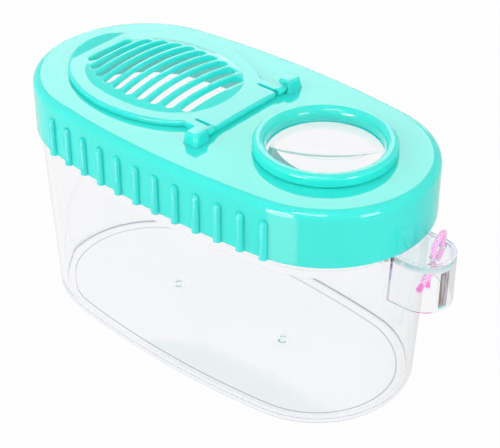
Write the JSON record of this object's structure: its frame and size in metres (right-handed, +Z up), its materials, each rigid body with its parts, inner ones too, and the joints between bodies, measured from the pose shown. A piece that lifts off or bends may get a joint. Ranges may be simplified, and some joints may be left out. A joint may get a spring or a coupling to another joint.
{
  "type": "bug jar",
  "caption": "Clear oval bug jar with a lift-off lid, a hinged vented hatch, a magnifying lens and a knotted cord loop on an end lug.",
  "frame": {"origin": "centre of the tank's flat underside", "axes": "+Z up, +X along the jar's length towards the lens and the cord lug, +Y across it"},
  "size_m": [0.1628, 0.08, 0.0885],
  "materials": {
    "clear_plastic": "clear, polished",
    "lens_plastic": "clear, polished",
    "turquoise_plastic": "glossy turquoise",
    "pink_cord": "braided cord"
  },
  "bodies": {
    "tank": {"tank": "clear_plastic", "cord_loop": "pink_cord", "cord_knot": "pink_cord"},
    "lid": {"lid": "turquoise_plastic", "lens_ring": "turquoise_plastic", "lens": "lens_plastic"},
    "hatch": {"hatch": "turquoise_plastic"}
  },
  "joints": [
    {"name": "lid_lift", "type": "slide", "parent": "tank", "child": "lid", "axis": [0, 0, 1], "range_m": [0, 0.06]},
    {"name": "hatch_hinge", "type": "hinge", "parent": "lid", "child": "hatch", "pos_m": [0.0073, 0, 0.0847], "axis": [0, 1, 0], "range_deg": [0, 150]}
  ]
}
